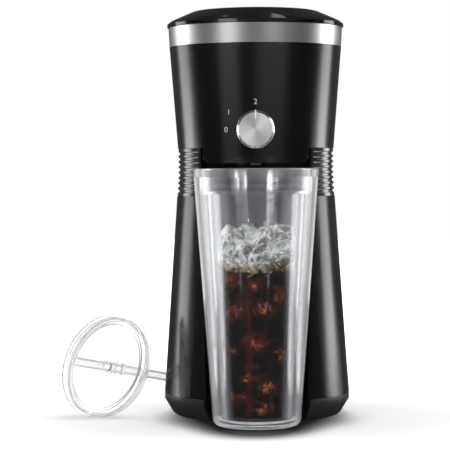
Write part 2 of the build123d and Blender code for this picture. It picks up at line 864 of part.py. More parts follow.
def lid_dome(inset):
    """Solid inside the cover's outline: a short upright edge, a soft slope and a nearly flat top."""
    edge_z = lid_bottom + lid_edge - inset
    outline = face_of([
        (0, lid_bottom), (lid_radius - inset, lid_bottom), (lid_radius - inset, edge_z),
        (lid_radius - lid_shoulder_in - inset, edge_z + lid_shoulder_up),
        (lid_radius - lid_brow_in - inset, edge_z + lid_brow_up), (0, lid_top - inset),
    ])
    brow = outline.vertices().group_by(Axis.Z)[-2]
    return revolve(fillet(brow, lid_brow_round), Axis.Z)


def scoop(margin):
    """Round step at the front edge of the cover, for the thumb."""
    low = lid_bottom + scoop_height - margin
    return disc(scoop_radius + margin, low, reach_beyond, 0, -(lid_radius + scoop_radius - scoop_reach))


plate_radius_lid = lid_radius - lid_plate_inset
plate_top_lid = lid_bottom + lid_plate
lid_cover = (lid_dome(0) - scoop(0)) - (lid_dome(lid_wall) - scoop(lid_wall))
lid_cover -= disc(plate_radius_lid, lid_bottom - 1, plate_top_lid)
lid_space = lid_dome(0)
lid_screws = []
for number in range(4):
    x = lid_boss_circle * cos(radians(45 + 90 * number))
    y = lid_boss_circle * sin(radians(45 + 90 * number))
    lid_cover += disc(lid_boss_radius, plate_top_lid, lid_top, x, y) & lid_space
    lid_cover -= disc(screw_radius, plate_top_lid, plate_top_lid + screw_length / 2, x, y)
    shank = disc(screw_radius, lid_bottom, plate_top_lid + screw_length / 2, x, y)
    lid_screws.append(shank + disc(screw_head_radius, lid_bottom - screw_head, lid_bottom, x, y))
hinge_web = block(
    -knuckle_half, knuckle_half, lid_radius - 0.75 * lid_wall, hinge_y,
    lid_bottom, hinge_z + knuckle_radius / 2,
)
pin_bore = hinge_pin_radius + hinge_pin_play
lid_cover += hinge_web + cross_rod(knuckle_radius, -knuckle_half, knuckle_half, hinge_y, hinge_z)
lid_cover -= cross_rod(pin_bore, -knuckle_half, knuckle_half, hinge_y, hinge_z)
keep("lid_cover", lid_cover)

skirt_outer = collar_inner - lid_skirt_gap
lid_liner = disc(plate_radius_lid, lid_bottom, plate_top_lid)
lid_liner += ring(skirt_outer, skirt_outer - lid_skirt_wall, lid_bottom - lid_skirt_depth, lid_bottom)
for number in range(4):
    x = lid_boss_circle * cos(radians(45 + 90 * number))
    y = lid_boss_circle * sin(radians(45 + 90 * number))
    lid_liner -= disc(screw_radius, lid_bottom, plate_top_lid, x, y)
keep("lid_liner", lid_liner)
keep("lid_screws", *lid_screws)

# Rocker switch at the back

pivot_y = switch_face - rocker_pivot_depth
flange_half = switch_width / 2 + switch_flange
flange_tall = switch_tall / 2 + switch_flange
flange_box = block(
    switch_x - flange_half, switch_x + flange_half, switch_back, switch_face,
    switch_z - flange_tall, switch_z + flange_tall,
)
switch_bezel = flange_box - lower_core(0) + switch_body
switch_bezel -= block(
    switch_x - switch_open_width / 2, switch_x + switch_open_width / 2,
    switch_back + switch_flange, switch_face,
    switch_z - switch_open_tall / 2, switch_z + switch_open_tall / 2,
)
pin_half = rocker_width / 2 + rocker_pin_length
socket_half = pin_half + rocker_pin_play
socket_radius = rocker_pin + rocker_pin_play
switch_bezel -= cross_rod(socket_radius, switch_x - socket_half, switch_x + socket_half, pivot_y, switch_z)
keep("switch_bezel", switch_bezel)

rocker_face = make_face(Polyline(
    (0, rocker_front, rocker_half), (0, rocker_dip, 0), (0, rocker_front, -rocker_half),
    (0, -rocker_pin, -rocker_half + rocker_pin), (0, -rocker_back, 0),
    (0, -rocker_pin, rocker_half - rocker_pin), close=True,
))
rocker = extrude(rocker_face, rocker_width / 2, both=True) + cross_rod(rocker_pin, -pin_half, pin_half, 0, 0)
switch_rocker = Pos(switch_x, pivot_y, switch_z) * Rot(rocker_tilt, 0, 0) * rocker
keep("switch_rocker", switch_rocker)

# Cord inlet: a round bushing in the back wall

cord_inlet = rod(inlet_flange_radius, inlet_end, inlet_face, inlet_x, inlet_z) - lower_core(0)
cord_inlet += rod(inlet_radius, inlet_end, inlet_face, inlet_x, inlet_z)
cord_inlet -= rod(inlet_bore, inlet_end, inlet_face, inlet_x, inlet_z)
keep("cord_inlet", cord_inlet)

block_y = heater_back + block_back
terminal_block = block(
    -block_width / 2, block_width / 2, block_y - block_depth / 2, block_y + block_depth / 2,
    plate_top, plate_top + block_height,
)
keep("terminal_block", terminal_block)

block_top = plate_top + block_height
wire_low = block_top + 1.5 * wire_bend
wire_spread = block_width / 3
inner_x = heater_bend - water_tube_radius - wire_bend
switch_line = switch_back - wire_bend / 2
wires = [
    tube([
        (0, block_y, block_top), (0, block_y, wire_low), (switch_x, switch_line, wire_low),
        (switch_x, switch_line, switch_z), (switch_x, switch_back, switch_z),
    ], (wire_bend, wire_bend, wire_bend / 2.5), wire_radius),
    tube([
        (-wire_spread, block_y, block_top), (-wire_spread, block_y, wire_low), (-inner_x, fuse_y, wire_low),
        (-inner_x, fuse_y, heater_top), (-heater_bend + fuse_width / 2, fuse_y, heater_top),
    ], (wire_bend, wire_bend, wire_bend / 2), wire_radius),
    tube([
        (wire_spread, block_y, block_top), (wire_spread, block_y, wire_low), (inner_x, fuse_y, wire_low),
        (inner_x, fuse_y, heater_rise + rod_rise), (heater_bend - rod_radius, fuse_y, heater_rise + rod_rise),
    ], (wire_bend, wire_bend, wire_bend / 2), wire_radius),
]
keep("wiring", *wires)

# Tumbler: an outer wall and an inner cup that carries the rim

cup_rim_low = cup_height - cup_rim_height


def cup_radius(z):
    """Outer radius of the tumbler below its rim."""
    return slope(z, 0, cup_base_radius, cup_rim_low, cup_rim_radius - cup_rim_height / 12)


def at_cup(shape):
    """Set a shape made about Z on the tumbler's axis."""
    return Pos(0, -cup_reach, 0) * shape


outer_face = face_of([(0, 0), (cup_radius(0), 0), (cup_radius(cup_rim_low), cup_rim_low), (0, cup_rim_low)])
outer_corner = outer_face.vertices().group_by(Axis.Z)[0].sort_by(Axis.X)[-1]
inner_face = face_of([
    (0, cup_floor), (cup_radius(cup_floor) - cup_wall, cup_floor),
    (cup_radius(cup_rim_low) - cup_wall, cup_rim_low), (0, cup_rim_low),
])
inner_corner = inner_face.vertices().group_by(Axis.Z)[0].sort_by(Axis.X)[-1]
tumbler_outer = revolve(fillet(outer_corner, cup_edge_round), Axis.Z)
tumbler_outer -= revolve(fillet(inner_corner, cup_edge_round - cup_wall), Axis.Z)
tumbler_outer -= disc(cup_base_radius - cup_foot_width, 0, cup_foot_recess)
keep("tumbler_outer", at_cup(tumbler_outer))

liner_low = cup_floor + cup_liner_lift
liner_inside = liner_low + cup_liner_wall
shoulder = cup_height - cup_mouth_depth
tumbler_liner = turned([
    (0, liner_low), (cup_liner_base_radius + cup_liner_wall, liner_low),
    (cup_liner_top_radius + cup_liner_wall, shoulder - cup_liner_wall),
    (cup_mouth_radius + cup_liner_wall, shoulder - cup_liner_wall),
    (cup_mouth_radius + cup_liner_wall, cup_rim_low),
    (cup_rim_radius, cup_rim_low), (cup_rim_radius, cup_height), (cup_mouth_radius, cup_height),
    (cup_mouth_radius, shoulder), (cup_liner_top_radius, shoulder), (cup_liner_base_radius, liner_inside),
    (0, liner_inside),
])
rim_edges = tumbler_liner.edges().filter_by(GeomType.CIRCLE).group_by(Axis.Z)[-1]
tumbler_liner = fillet(rim_edges, cup_liner_wall / 1.5)
keep("tumbler_liner", at_cup(tumbler_liner))

# Drink lid, gasket and straw, leaning on the counter beside the machine
# Each is made about Z with its outer side up, then leaned over and turned.

plate_high = -drink_plate_depth + drink_plate
drink_lid_shape = turned([
    (straw_hole, -drink_plate_depth), (skirt_radius - drink_wall, -drink_plate_depth),
    (skirt_radius - drink_wall, -skirt_depth), (skirt_radius, -skirt_depth), (skirt_radius, -flange_thickness),
    (flange_radius, -flange_thickness), (flange_radius, 0), (flange_radius - flange_width, 0),
    (flange_radius - flange_width, -drink_step), (flange_radius - flange_width - drink_step_width, -drink_step),
    (flange_radius - flange_width - drink_step_width, plate_high), (drink_hub_radius, plate_high),
    (drink_hub_radius, plate_high + drink_hub_height), (straw_hole, plate_high + drink_hub_height),
])
gasket_middle = -skirt_depth + gasket_height
gasket_groove = ring(skirt_radius, skirt_radius - gasket_proud, gasket_middle - gasket_section,
                     gasket_middle + gasket_section)
drink_lid_shape -= gasket_groove
gasket_shape = gasket_groove + ring(
    skirt_radius + gasket_proud, skirt_radius,
    gasket_middle - gasket_section / 2, gasket_middle + gasket_section / 2,
)

lean = Rot(0, 0, -drink_turn) * Rot(90 - drink_lean, 0, 0)
drink_lid_z = -min((lean * shape).bounding_box().min.Z for shape in (drink_lid_shape, gasket_shape))
lid_place = Pos(drink_lid_x, drink_lid_y, drink_lid_z) * lean
keep("drink_lid", lid_place * drink_lid_shape)
keep("lid_gasket", lid_place * gasket_shape)

heading = Vector(sin(radians(drink_turn)), cos(radians(drink_turn)), 0)
hole_level = -drink_plate_depth + (drink_plate + drink_hub_height) / 2
hole = Vector(drink_lid_x, drink_lid_y, drink_lid_z)
hole += heading * (-hole_level * cos(radians(drink_lean))) + Vector(0, 0, hole_level * sin(radians(drink_lean)))
straw_dip = degrees(asin(hole.Z / hypot(straw_beyond, straw_radius)) - atan(straw_radius / straw_beyond))
straw_place = Pos(*hole) * Rot(0, 0, -drink_turn) * Rot(90 - straw_dip, 0, 0)
straw = ring(straw_radius, straw_bore, -straw_beyond, straw_proud)
straw_stop = ring(stop_radius, straw_radius, -stop_distance - stop_length, -stop_distance)
keep("straw", straw_place * straw)
keep("straw_stop", straw_place * straw_stop)

# Places that the joints and interfaces need

print("knob axis height", round(knob_z, 3), "valve", round(valve_y, 3))
print("hinge", round(hinge_y, 3), round(hinge_z, 3))
print("rocker pivot", round(pivot_y, 3), switch_x, switch_z)
print("cord inlet", inlet_x, round(inlet_face, 3), inlet_z, "length", round(inlet_face - inlet_end, 3))
print("straw hole", [round(c, 3) for c in hole], "dip", round(straw_dip, 3))
print("drink lid centre height", round(drink_lid_z, 3))
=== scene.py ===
import json
from math import cos, pi, radians, sin, sqrt
import random

import bmesh
import bpy
from mathutils import Matrix, Vector, noise

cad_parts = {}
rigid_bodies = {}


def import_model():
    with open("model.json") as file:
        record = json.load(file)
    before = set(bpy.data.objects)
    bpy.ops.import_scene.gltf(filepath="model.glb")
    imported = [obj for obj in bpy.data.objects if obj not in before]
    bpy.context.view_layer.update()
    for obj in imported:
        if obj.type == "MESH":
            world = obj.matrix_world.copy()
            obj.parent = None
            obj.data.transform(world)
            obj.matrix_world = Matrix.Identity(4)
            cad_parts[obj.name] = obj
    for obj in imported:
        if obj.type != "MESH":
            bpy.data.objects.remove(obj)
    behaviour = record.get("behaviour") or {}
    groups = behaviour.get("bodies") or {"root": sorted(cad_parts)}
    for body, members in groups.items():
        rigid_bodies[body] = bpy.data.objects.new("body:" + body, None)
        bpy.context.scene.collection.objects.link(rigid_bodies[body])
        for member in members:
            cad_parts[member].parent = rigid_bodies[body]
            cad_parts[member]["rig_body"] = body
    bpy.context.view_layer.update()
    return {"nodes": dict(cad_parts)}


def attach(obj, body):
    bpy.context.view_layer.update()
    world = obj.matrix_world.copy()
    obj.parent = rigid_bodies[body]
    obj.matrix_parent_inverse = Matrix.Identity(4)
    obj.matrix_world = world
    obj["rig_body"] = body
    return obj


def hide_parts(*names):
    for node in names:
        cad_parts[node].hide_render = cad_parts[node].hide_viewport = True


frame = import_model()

mm = 0.001

# The camera stands 1.6 m in front of the machine, at the height of its waist, and looks slightly down
# and to the left, so that the leaning drink lid is in the frame too.

camera_distance = 1600 * mm
camera_height = 202 * mm
camera_down = radians(1.67)
camera_left = radians(0.92)
camera_lean = radians(-0.3)

lens = bpy.data.cameras.new("camera")
lens.lens = 155
lens.sensor_width = 36
camera = bpy.data.objects.new("camera", lens)
camera.location = (0, -camera_distance, camera_height)
camera.rotation_euler = (Matrix.Rotation(camera_left, 3, "Z") @ Matrix.Rotation(pi / 2 - camera_down, 3, "X")
                         @ Matrix.Rotation(camera_lean, 3, "Z")).to_euler()
bpy.context.collection.objects.link(camera)
bpy.context.scene.camera = camera
bpy.context.scene.view_settings.view_transform = "Standard"

# Studio: a white room for the camera, which gloss sees as a dark one with pale stretches in front,
# a pale floor with painted shadows near the machine, which turns to plain white away from it, and soft boxes.
# Tall strips stand at both sides and slightly behind; the boxes are in front, above and behind.

matt_light = 0.62
white_lost = 0.10    # at each pass through plastic
least_white = 0.45


def node_of(tree, kind, **values):
    """Shader node with its inputs set by name: a socket is linked, a colour or number stays on the node."""
    node = tree.nodes.new(kind)
    for name, value in values.items():
        key = name.replace("_", " ")
        if isinstance(value, bpy.types.NodeSocket):
            tree.links.new(value, node.inputs[key])
        elif key in node.inputs:
            node.inputs[key].default_value = value
        else:
            setattr(node, name, value)
    return node


def maths(tree, operation, first, second=None):
    """Math node on sockets or numbers; gives its output socket."""
    node = tree.nodes.new("ShaderNodeMath")
    node.operation = operation
    for socket, value in zip(node.inputs, (first, second)):
        if isinstance(value, bpy.types.NodeSocket):
            tree.links.new(value, socket)
        elif value is not None:
            socket.default_value = value
    return node.outputs[0]


def ramp_of(tree, factor, *stops):
    """Colour ramp through (place, grey or colour) stops; gives its colour socket."""
    node = tree.nodes.new("ShaderNodeValToRGB")
    marks = node.color_ramp.elements
    while len(marks) < len(stops):
        marks.new(0.5)
    for mark, (place, shade) in zip(marks, stops):
        mark.position = place
        mark.color = (*shade, 1) if isinstance(shade, tuple) else (shade, shade, shade, 1)
    tree.links.new(factor, node.inputs[0])
    return node.outputs[0]


def mixed(tree, share, first, second):
    """Two shaders mixed by the second one's share; gives the shader socket."""
    node = tree.nodes.new("ShaderNodeMixShader")
    for socket, source in zip(node.inputs, (share, first, second)):
        tree.links.new(source, socket)
    return node.outputs[0]


room = bpy.data.worlds.new("room")
bpy.context.scene.world = room
room.use_nodes = True
tree = room.node_tree
tree.nodes.clear()
path = tree.nodes.new("ShaderNodeLightPath")
heading = tree.nodes.new("ShaderNodeTexCoord").outputs["Generated"]
direction = node_of(tree, "ShaderNodeSeparateXYZ", Vector=heading)
towards = maths(tree, "MULTIPLY", direction.outputs["Y"], -1.0)
turn = maths(tree, "ARCTAN2", direction.outputs["X"], towards)
turn = maths(tree, "ADD", maths(tree, "MULTIPLY", turn, 0.5 / pi), 0.5)
mirrored = ramp_of(
    tree, turn, (0.0, 0.06), (0.10, 0.11), (0.15, 0.08), (0.25, 0.06), (0.30, 0.12), (0.36, 0.36),
    (0.47, 0.42), (0.50, 0.30), (0.525, 0.26), (0.56, 0.40), (0.60, 0.42), (0.65, 0.22),
    (0.69, 0.05), (0.75, 0.06), (0.86, 0.09), (0.91, 0.13), (1.0, 0.06),
)
after_mirror = maths(tree, "MINIMUM", path.outputs["Glossy Depth"], 1.0)
not_mirror = maths(tree, "SUBTRACT", 1.0, after_mirror)
after_matt = maths(tree, "MINIMUM", path.outputs["Diffuse Depth"], 1.0)
not_matt = maths(tree, "SUBTRACT", 1.0, after_matt)
straight = maths(tree, "MULTIPLY", not_mirror, not_matt)
through = maths(tree, "MULTIPLY", path.outputs["Is Transmission Ray"], straight)
past_plastic = maths(tree, "MULTIPLY", path.outputs["Transmission Depth"], white_lost)
white_left = maths(tree, "MAXIMUM", maths(tree, "SUBTRACT", 1.0, past_plastic), least_white)
ambient = node_of(tree, "ShaderNodeBackground", Color=(1, 1, 1, 1), Strength=matt_light)
studio = node_of(tree, "ShaderNodeBackground", Color=mirrored, Strength=1.0)
white = node_of(tree, "ShaderNodeBackground", Color=(1, 1, 1, 1), Strength=white_left)
shiny = mixed(tree, maths(tree, "MULTIPLY", after_mirror, not_matt), ambient.outputs[0], studio.outputs[0])
seen = mixed(tree, maths(tree, "MAXIMUM", path.outputs["Is Camera Ray"], through), shiny, white.outputs[0])
tree.links.new(seen, tree.nodes.new("ShaderNodeOutputWorld").inputs[0])

floor_half = 4.0
floor_tone = 0.86
floor_mirrored = 0.09
floor_through = 0.45
card_aside = 60 * mm
card_back = 30 * mm
card_glow = 4.2


def mesh_of(form, name):
    """Mesh in the shape of a bmesh, which is freed."""
    mesh = bpy.data.meshes.new(name)
    form.to_mesh(mesh)
    form.free()
    return mesh


form = bmesh.new()
bmesh.ops.create_grid(form, x_segments=1, y_segments=1, size=floor_half)
floor_mesh = mesh_of(form, "floor")
floor = bpy.data.objects.new("floor", floor_mesh)
bpy.context.collection.objects.link(floor)

floor_finish = bpy.data.materials.new("floor_finish")
floor_finish.use_nodes = True
tree = floor_finish.node_tree
tree.nodes.clear()
path = tree.nodes.new("ShaderNodeLightPath")
reflected = maths(tree, "MINIMUM", path.outputs["Glossy Depth"], 1.0)
direct = maths(tree, "SUBTRACT", 1.0, reflected)
spots = tree.nodes.new("ShaderNodeTexCoord").outputs["Object"]
reach = node_of(tree, "ShaderNodeVectorMath", operation="LENGTH", Vector=spots)
fade = ramp_of(tree, reach.outputs["Value"], (0.16, 0.24), (0.50, 1.0))
fade = maths(tree, "MULTIPLY", fade, path.outputs["Is Camera Ray"])

# Glowing cards are painted on the floor at both sides, slightly behind, and show only in gloss, as pale
# reflections.

place = node_of(tree, "ShaderNodeSeparateXYZ", Vector=spots)
aside = maths(tree, "SUBTRACT", maths(tree, "ABSOLUTE", place.outputs["X"]), card_aside)
bearing = maths(tree, "ARCTAN2", aside, maths(tree, "ADD", place.outputs["Y"], card_back))
beside = ramp_of(tree, maths(tree, "MULTIPLY", bearing, 1 / pi), (0.25, 0.0), (0.32, 0.3), (0.38, 1.0),
                 (0.44, 0.9), (0.49, 0.1), (0.5, 0.0))
clear_of_base = ramp_of(tree, aside, (0.07, 0.0), (0.14, 1.0))
cards = maths(tree, "MULTIPLY", maths(tree, "MULTIPLY", beside, clear_of_base),
              maths(tree, "MULTIPLY", reflected, card_glow))


def contact_shade(aside, middle, half_across, half_deep, *stops):
    """Painted soft shadow: a dark ellipse on the floor round a place; stops are in half axes, halved."""
    ellipse = node_of(tree, "ShaderNodeMapping", Vector=spots, Scale=(1 / half_across, 1 / half_deep, 0),
                      Location=(-aside / half_across, -middle / half_deep, 0))
    away = node_of(tree, "ShaderNodeVectorMath", operation="LENGTH", Vector=ellipse.outputs[0])
    return ramp_of(tree, maths(tree, "MULTIPLY", away.outputs["Value"], 0.5), *stops)


# Painted shadows under the machine, the tumbler and the drink lid, which only the camera sees.
base_shade = contact_shade(
    0, -40 * mm, 64 * mm, 75 * mm, (0.37, 0.035), (0.405, 0.09), (0.45, 0.17), (0.50, 0.31), (0.54, 0.47),
    (0.58, 0.64), (0.63, 0.82), (0.68, 0.95), (0.76, 1.0),
)
cup_shade = contact_shade(
    0, -100 * mm, 38 * mm, 50 * mm, (0.40, 0.10), (0.53, 0.38), (0.63, 0.72), (0.74, 0.94), (0.80, 1.0),
)
lid_shade = contact_shade(
    -136 * mm, -30 * mm, 38 * mm, 20 * mm, (0.0, 0.70), (0.3, 0.80), (0.5, 0.94), (0.65, 1.0),
)
shade = maths(tree, "MULTIPLY", maths(tree, "MULTIPLY", base_shade, cup_shade), lid_shade)
fade = maths(tree, "MULTIPLY", fade, shade)
through = maths(tree, "MULTIPLY", path.outputs["Is Transmission Ray"], direct)
through = maths(tree, "MULTIPLY", through, floor_through)
glow = node_of(tree, "ShaderNodeEmission",
               Strength=maths(tree, "ADD", maths(tree, "ADD", fade, cards), through))
dark = maths(tree, "MULTIPLY", maths(tree, "SUBTRACT", 1.0, shade), path.outputs["Is Camera Ray"])
tone = maths(tree, "MULTIPLY", maths(tree, "SUBTRACT", 1.0, dark), floor_tone)
tone = maths(tree, "ADD", maths(tree, "MULTIPLY", tone, direct),
             maths(tree, "MULTIPLY", reflected, floor_mirrored))
paint = node_of(tree, "ShaderNodeBsdfDiffuse", Color=tone)
both = tree.nodes.new("ShaderNodeAddShader")
tree.links.new(paint.outputs[0], both.inputs[0])
tree.links.new(glow.outputs[0], both.inputs[1])
tree.links.new(both.outputs[0], tree.nodes.new("ShaderNodeOutputMaterial").inputs[0])
floor_mesh.materials.append(floor_finish)


def soft_box(name, turn, distance, height, width, tall, radiance, aim=150 * mm):
    """Area lamp at an angle round the machine from the viewer's side, aimed at a height on its axis."""
    lamp = bpy.data.lights.new(name, "AREA")
    lamp.shape = "RECTANGLE"
    lamp.size = width
    lamp.size_y = tall
    lamp.energy = radiance * pi * width * tall
    holder = bpy.data.objects.new(name, lamp)
    place = Vector((distance * sin(radians(turn)), -distance * cos(radians(turn)), height))
    holder.location = place
    holder.rotation_euler = (Vector((0, 0, aim)) - place).to_track_quat("-Z", "Y").to_euler()
    holder.visible_camera = False
    bpy.context.collection.objects.link(holder)
    return holder


left_strip = soft_box("left_strip", turn=-112, distance=1.35, height=0.25, width=0.54, tall=1.5, radiance=3.6)
right_strip = soft_box("right_strip", turn=110, distance=1.35, height=0.25, width=0.5, tall=1.5, radiance=4.8)
soft_box("front_box", turn=-35, distance=1.5, height=0.46, width=0.62, tall=0.34, radiance=4.0)
soft_box("front_low", turn=-35, distance=1.5, height=0.06, width=0.70, tall=0.44, radiance=0.8, aim=60 * mm)
soft_box("high_box", turn=24, distance=1.4, height=0.95, width=0.5, tall=0.4, radiance=3.5)
top_box = soft_box("top_box", turn=175, distance=0.5, height=1.5, width=0.9, tall=0.7, radiance=1.6)

# Base: a rubber foot ring, a plate held by screws, and a satin ring that curves in to the counter.
# All are moulded or cut parts; the ring's outside has a fine spark-eroded texture.

weld_distance = 0.003 * mm
flat_angle = radians(0.4)
edge_angle = radians(32)


def new_group(name, inputs, outputs):
    """Shader node group with number inputs (name, start value) and number outputs."""
    group = bpy.data.node_groups.new(name, "ShaderNodeTree")
    for label, start in inputs:
        socket = group.interface.new_socket(label, in_out="INPUT", socket_type="NodeSocketFloat")
        socket.default_value = start
    for label in outputs:
        group.interface.new_socket(label, in_out="OUTPUT", socket_type="NodeSocketFloat")
    return group, group.nodes.new("NodeGroupInput"), group.nodes.new("NodeGroupOutput")


drift, drift_in, drift_out = new_group(
    "surface_drift", [("Roughness", 0.3), ("Spread", 0.05), ("Size", 30.0)], ["Roughness", "Patch"],
)
cloud = node_of(drift, "ShaderNodeTexNoise", Vector=drift.nodes.new("ShaderNodeTexCoord").outputs["Object"],
                Scale=drift_in.outputs["Size"], Detail=3.0, Roughness=0.55)
swing = maths(drift, "SUBTRACT", cloud.outputs["Fac"], 0.5)
swing = maths(drift, "MULTIPLY", swing, drift_in.outputs["Spread"])
drift.links.new(maths(drift, "ADD", swing, drift_in.outputs["Roughness"]), drift_out.inputs["Roughness"])
drift.links.new(cloud.outputs["Fac"], drift_out.inputs["Patch"])

grain, grain_in, grain_out = new_group(
    "fine_grain", [("Size", 2000.0), ("Around", 1.0), ("Upright", 1.0)], ["Height"],
)
stretch = node_of(grain, "ShaderNodeCombineXYZ", X=grain_in.outputs["Around"], Y=grain_in.outputs["Around"],
                  Z=grain_in.outputs["Upright"])
stretched = node_of(grain, "ShaderNodeVectorMath", operation="MULTIPLY")
grain.links.new(grain.nodes.new("ShaderNodeTexCoord").outputs["Object"], stretched.inputs[0])
grain.links.new(stretch.outputs[0], stretched.inputs[1])
speckle = node_of(grain, "ShaderNodeTexNoise", Vector=stretched.outputs[0], Scale=grain_in.outputs["Size"],
                  Detail=2.0, Roughness=0.6)
grain.links.new(speckle.outputs["Fac"], grain_out.inputs["Height"])


def finish(name, colour, second, roughness, spread=0.06, size=35.0, grain_size=0.0, depth=0.02,
           around=1.0, upright=1.0, **sockets):
    """Material with slowly drifting colour and roughness, and a fine grain with its depth in millimetres."""
    material = bpy.data.materials.new(name)
    material.use_nodes = True
    tree = material.node_tree
    shader = tree.nodes["Principled BSDF"]
    for label, value in sockets.items():
        shader.inputs[label.replace("_", " ")].default_value = value
    drifting = node_of(tree, "ShaderNodeGroup", node_tree=drift, Roughness=roughness, Spread=spread,
                       Size=size)
    tree.links.new(drifting.outputs["Roughness"], shader.inputs["Roughness"])
    tree.links.new(ramp_of(tree, drifting.outputs["Patch"], (0.3, colour), (0.7, second)),
                   shader.inputs["Base Color"])
    if grain_size:
        grains = node_of(tree, "ShaderNodeGroup", node_tree=grain, Size=grain_size, Around=around,
                         Upright=upright)
        bump = node_of(tree, "ShaderNodeBump", Strength=1.0, Distance=depth * mm,
                       Height=grains.outputs["Height"])
        tree.links.new(bump.outputs["Normal"], shader.inputs["Normal"])
    return material


def dress(material, *names):
    """Give a finish to CAD pieces that show as they are."""
    for name in names:
        for slot in frame["nodes"][name].material_slots:
            slot.link = "OBJECT"
            slot.material = material


def softened(name, width, material, segments=3):
    """Merged copy of a CAD piece with rounded edges, which stands for it."""
    source = frame["nodes"][name]
    mesh = source.data.copy()
    form = bmesh.new()
    form.from_mesh(mesh)
    bmesh.ops.remove_doubles(form, verts=form.verts, dist=weld_distance)
    bmesh.ops.dissolve_limit(form, angle_limit=flat_angle, verts=form.verts, edges=form.edges)
    bmesh.ops.triangulate(form, faces=[face for face in form.faces if len(face.verts) > 4])
    form.to_mesh(mesh)
    form.free()
    if "custom_normal" in mesh.attributes:
        mesh.attributes.remove(mesh.attributes["custom_normal"])
    mesh.materials.clear()
    mesh.materials.append(material)
    for polygon in mesh.polygons:
        polygon.use_smooth = True
    piece = bpy.data.objects.new(name + "_finished", mesh)
    bpy.context.collection.objects.link(piece)
    bevel = piece.modifiers.new("round", "BEVEL")
    bevel.width = width
    bevel.segments = segments
    bevel.limit_method = "ANGLE"
    bevel.angle_limit = edge_angle
    bevel.harden_normals = False
    weighted = piece.modifiers.new("normals", "WEIGHTED_NORMAL")
    weighted.keep_sharp = False
    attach(piece, source["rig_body"])
    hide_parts(name)
    return piece


satin_black = finish("satin_black", (0.016, 0.016, 0.017), (0.021, 0.021, 0.022), 0.42, grain_size=2600,
                     depth=0.012)
foot_rubber = finish("foot_rubber", (0.02, 0.02, 0.02), (0.03, 0.03, 0.03), 0.75, grain_size=1500)
zinc_steel = finish("zinc_steel", (0.5, 0.5, 0.49), (0.6, 0.6, 0.6), 0.32, grain_size=900, Metallic=1.0)
softened("base_ring", 0.5 * mm, satin_black)
dress(foot_rubber, "foot_ring")
dress(satin_black, "bottom_plate")
dress(zinc_steel, "plate_screws")

# Lower housing and niche liner: high-gloss black mouldings, polished in the tool,
# so they mirror the strips with a slightly soft edge.

gloss_black = finish("gloss_black", (0.0014, 0.0014, 0.0016), (0.0026, 0.0026, 0.0028), 0.20, spread=0.05,
                     size=14, grain_size=110, depth=0.006, IOR=1.46)
softened("lower_housing", 0.35 * mm, gloss_black)
dress(gloss_black, "niche_liner")

# Waist: one moulding between the two housings, with nine fine ribs for the hand to grip.
# It has a brighter polish, and lamps of its own, because its faces turn away from the strips.


def collected(name, *pieces):
    """Collection of pieces for lamps to be kept to."""
    group = bpy.data.collections.new(name)
    for piece in pieces:
        group.objects.link(piece)
    return group


def kept_to(lamp, pieces, alone=False):
    """Let a lamp light only a collection's pieces; alone, nothing else throws its shadow on them."""
    lamp.light_linking.receiver_collection = pieces
    if alone:
        lamp.light_linking.blocker_collection = pieces


def feathered(lamp, *stops):
    """Let a lamp's light rise and fall across its width, through (place, share) stops."""
    lamp.data.use_nodes = True
    tree = lamp.data.node_tree
    across = node_of(tree, "ShaderNodeSeparateXYZ",
                     Vector=tree.nodes.new("ShaderNodeNewGeometry").outputs["Parametric"])
    tree.links.new(ramp_of(tree, across.outputs["X"], *stops), tree.nodes["Emission"].inputs["Strength"])


rib_polish = finish("rib_polish", (0.012, 0.012, 0.013), (0.02, 0.02, 0.021), 0.13, IOR=1.9)
ribs = softened("waist_grip", 0.45 * mm, rib_polish, segments=4)
rib_pieces = collected("rib_pieces", ribs)
for name, turn, width, radiance in (("rib_left", -120, 0.66, 2.5), ("rib_right", 128, 0.60, 3.2)):
    lamp = soft_box(name, turn, distance=1.35, height=0.25, width=width, tall=1.5, radiance=radiance)
    feathered(lamp, (0.0, 0.0), (0.3, 1.0), (0.7, 1.0), (1.0, 0.0))
    kept_to(lamp, rib_pieces)

# Upper housing with its tongue over the tumbler: a gloss black moulding, with a faint broad light in front.
# The head floor with the drip nozzle closes it below, and plain black mouldings stand inside it.

housing = softened("upper_housing", 0.35 * mm, gloss_black)
lamp = soft_box("broad_front", turn=22, distance=1.6, height=0.27, width=1.6, tall=0.54, radiance=0.7)
feathered(lamp, (0.0, 0.0), (0.25, 1.0), (0.75, 1.0), (1.0, 0.0))
kept_to(lamp, collected("black_pieces", housing))
dress(gloss_black, "head_floor")
inner_black = finish("inner_black", (0.03, 0.03, 0.031), (0.045, 0.045, 0.046), 0.5, grain_size=1800)
dress(inner_black, "drip_nozzle", "top_deck", "water_reservoir", "brew_basket", "valve_body", "knob_bushing",
      "check_valve", "water_spout")
dress(zinc_steel, "deck_screws")

# Steel band: rolled stainless strip, bent round the upper housing's collar.
# It is brushed along its length, so its highlights stretch up and down.


def brushed_round(material, axis):
    """Let a metal's brushing run round an axis."""
    tree = material.node_tree
    lay = node_of(tree, "ShaderNodeTangent", direction_type="RADIAL", axis=axis)
    tree.links.new(lay.outputs[0], tree.nodes["Principled BSDF"].inputs["Tangent"])


band_steel = finish("band_steel", (0.53, 0.53, 0.54), (0.61, 0.61, 0.61), 0.40, grain_size=1.0, depth=0.004,
                    around=6.0, upright=5200.0, Metallic=1.0, Anisotropic=0.6, Anisotropic_Rotation=0.25)
brushed_round(band_steel, "Z")
dress(band_steel, "steel_band")

# Inside: seals, filter, heater, hoses, clips and wiring, seen when the lid is open or the plate is off.
# Seals and hoses are silicone, the heater is cast aluminium, and clips and clamps are bent steel.

